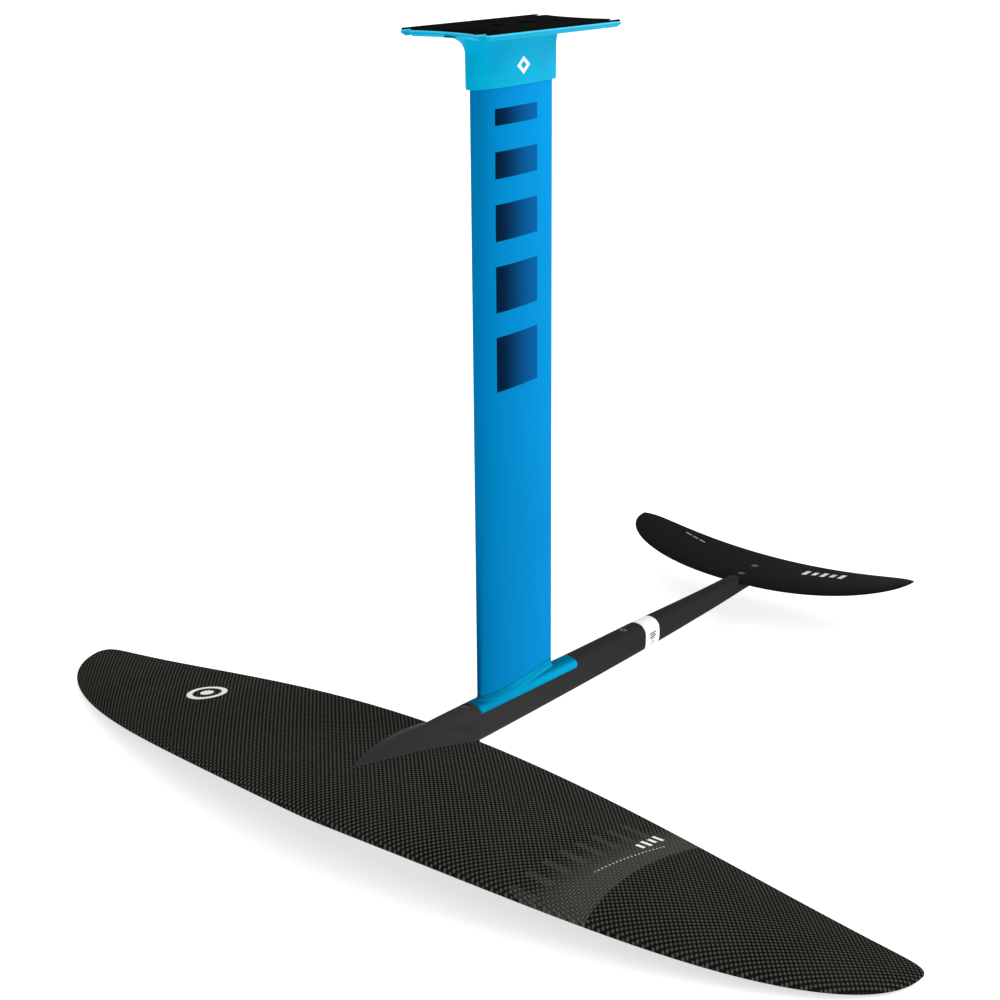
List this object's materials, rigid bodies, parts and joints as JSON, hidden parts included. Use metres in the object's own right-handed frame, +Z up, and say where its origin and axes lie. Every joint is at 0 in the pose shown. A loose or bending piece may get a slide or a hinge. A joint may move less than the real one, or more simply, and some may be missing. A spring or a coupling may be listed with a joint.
{
  "type": "hydrofoil",
  "caption": "Hydrofoil for foil boards: slotted top plate, aluminium mast, fuselage, woven-skin front wing with drooped tips and an upswept stabiliser on a tail boom.",
  "frame": {"origin": "on the top plate's board face, over the mast's mid-chord line and 2.7 mm in front of the plate's centre", "axes": "+X forward towards the front wing, +Y to port along the wing's span, +Z up out of the board face"},
  "size_m": [0.8582, 1.0894, 0.7611],
  "materials": {
    "head_moulding": "satin cyan moulding",
    "grip_pad": "fine grained black pad",
    "stainless": "plain stainless",
    "anodised_mast": "satin blue anodised",
    "anodised_foot": "satin light blue anodised",
    "charcoal_spar": "satin charcoal",
    "carbon_weave": "plain woven carbon under satin clear coat",
    "brass_insert": "plain",
    "white_sleeve": "satin white film",
    "stabiliser_skin": "matte black skin"
  },
  "bodies": {
    "root": {"mast_head": "head_moulding", "plate_pad": "grip_pad", "head_screw_1": "stainless", "head_screw_2": "stainless", "mast": "anodised_mast", "mast_foot": "anodised_foot", "foot_screw_1": "stainless", "foot_screw_2": "stainless", "mast_bolt_1": "stainless", "mast_bolt_2": "stainless", "fuselage": "charcoal_spar", "foot_lock_screw": "stainless", "front_wing": "carbon_weave", "wing_screw_1": "stainless", "wing_insert_1": "brass_insert", "wing_screw_2": "stainless", "wing_insert_2": "brass_insert", "wing_screw_3": "stainless", "wing_insert_3": "brass_insert", "tail_boom": "charcoal_spar", "joint_screw": "stainless", "joint_insert": "brass_insert", "joint_sleeve": "white_sleeve", "stabiliser": "stabiliser_skin", "stab_screw_1": "stainless", "stab_insert_1": "brass_insert", "stab_screw_2": "stainless", "stab_insert_2": "brass_insert"}
  },
  "joints": []
}
